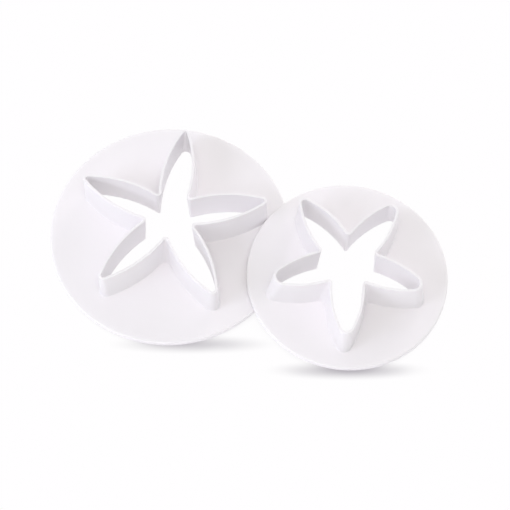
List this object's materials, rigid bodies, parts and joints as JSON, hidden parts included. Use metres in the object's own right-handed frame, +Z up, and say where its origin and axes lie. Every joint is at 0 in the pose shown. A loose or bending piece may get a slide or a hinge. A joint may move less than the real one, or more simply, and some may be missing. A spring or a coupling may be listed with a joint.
{
  "type": "calyx cutter set",
  "caption": "White plastic calyx cutters for sugar paste, the small one leaning on the large one: each is a flat disc with a star-shaped opening inside a raised cutting wall.",
  "frame": {"origin": "centre of the set's footprint box, on the bench that both cutters stand on", "axes": "+Z up, with the cutting edges up; +X along the set's longest extent, from the large cutter towards the small one; +Y away from the side that the picture is taken from"},
  "size_m": [0.1158, 0.078, 0.014],
  "materials": {
    "white_plastic": "white injection-moulded plastic with a soft satin shine"
  },
  "bodies": {
    "large_cutter": {"large_calyx_cutter": "white_plastic"},
    "small_cutter": {"small_calyx_cutter": "white_plastic"}
  },
  "joints": [
    {"name": "small_cutter_lift", "type": "slide", "parent": "large_cutter", "child": "small_cutter", "axis": [0, 0, 1], "range_m": [0, 0.03]}
  ]
}
